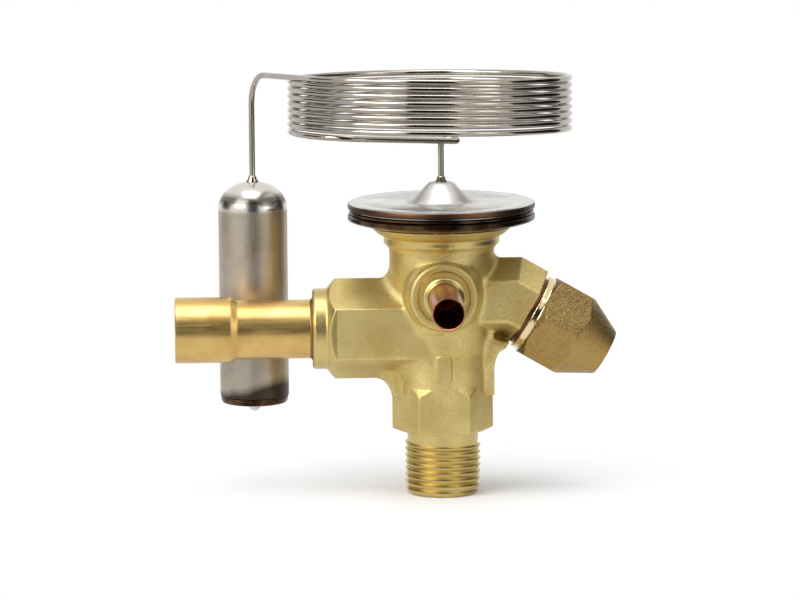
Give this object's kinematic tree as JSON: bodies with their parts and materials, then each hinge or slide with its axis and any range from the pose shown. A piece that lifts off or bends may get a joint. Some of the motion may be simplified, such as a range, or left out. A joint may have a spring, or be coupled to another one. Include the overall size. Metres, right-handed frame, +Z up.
{
  "type": "thermostatic expansion valve",
  "caption": "Angle-type expansion valve: forged brass body, threaded inlet, solder outlet, equaliser tube, diaphragm element, coiled capillary and sensing bulb.",
  "frame": {"origin": "centre of the inlet stub's end face", "axes": "+Z up the valve axis through the diaphragm element, -X along the outlet, -Y along the equaliser, the setting spindle to +X and 30 degrees down"},
  "size_m": [0.0954, 0.0694, 0.0932],
  "materials": {
    "forged_brass": "satin, blasted forging",
    "cap_brass": "satin, tumbled",
    "turned_brass": "turned",
    "outlet_copper_alloy": "drawn and annealed",
    "copper": "drawn copper",
    "stainless_bright": "polished stainless",
    "stainless_rim": "heat tinted stainless",
    "stainless_satin": "satin stainless",
    "capillary_steel": "drawn stainless",
    "braze_silver": "silver braze",
    "spring_steel": "spring steel",
    "seal_rubber": "moulded"
  },
  "bodies": {
    "body": {"valve_body": "forged_brass", "outlet_tube": "outlet_copper_alloy", "outlet_braze": "braze_silver", "equalizer_collar": "turned_brass", "equalizer_tube": "copper", "spindle_gland": "turned_brass", "spindle_oring": "seal_rubber", "pin_guide": "turned_brass", "pin_seal": "seal_rubber", "element_cup": "stainless_rim", "clamp_ring": "stainless_rim", "diaphragm": "stainless_satin", "element_cover": "stainless_bright", "element_braze": "braze_silver", "capillary_tube": "capillary_steel", "bulb_braze": "braze_silver", "sensing_bulb": "stainless_satin", "bulb_end_plug": "stainless_rim", "orifice_body": "turned_brass", "cone_spring": "spring_steel", "spring_retainer": "turned_brass", "inlet_strainer": "stainless_satin"},
    "stem": {"push_pin": "stainless_satin", "thrust_plate": "stainless_satin", "orifice_cone": "stainless_satin"},
    "spindle": {"setting_spindle": "turned_brass"},
    "nut": {"adjusting_nut": "turned_brass"},
    "cup": {"spring_cup": "turned_brass", "superheat_spring": "spring_steel"},
    "gasket": {"cap_gasket": "copper"},
    "cap": {"seal_cap": "cap_brass"}
  },
  "joints": [
    {"name": "pin_stroke", "type": "slide", "parent": "body", "child": "stem", "axis": [0, 0, -1], "range_m": [0, 0.0006], "stiffness_N_per_m": 4000, "springref_m": -0.0005, "deforming": ["superheat_spring", "cone_spring"]},
    {"name": "spindle_turn", "type": "hinge", "parent": "body", "child": "spindle", "pos_m": [0, 0, 0.0505], "axis": [0.866, 0, -0.5], "range_deg": [-720, 720]},
    {"name": "nut_turn", "type": "hinge", "parent": "body", "child": "nut", "pos_m": [0, 0, 0.044], "axis": [0, 0, 1], "range_deg": [-360, 360]},
    {"name": "cup_travel", "type": "slide", "parent": "body", "child": "cup", "axis": [0, 0, 1], "range_m": [-0.001, 0.001], "deforming": ["superheat_spring"]},
    {"name": "cap_travel", "type": "slide", "parent": "body", "child": "gasket", "axis": [0.866, 0, -0.5], "range_m": [0, 0.006]},
    {"name": "cap_turn", "type": "hinge", "parent": "gasket", "child": "cap", "pos_m": [0, 0, 0.0505], "axis": [0.866, 0, -0.5], "range_deg": [0, 2160]}
  ],
  "couplings": [
    {"joint": "spindle_turn", "follows": "cup_travel", "rad_per_m": -12566},
    {"joint": "nut_turn", "follows": "cup_travel", "rad_per_m": -6283.2},
    {"joint": "cap_turn", "follows": "cap_travel", "rad_per_m": 6283.2}
  ]
}
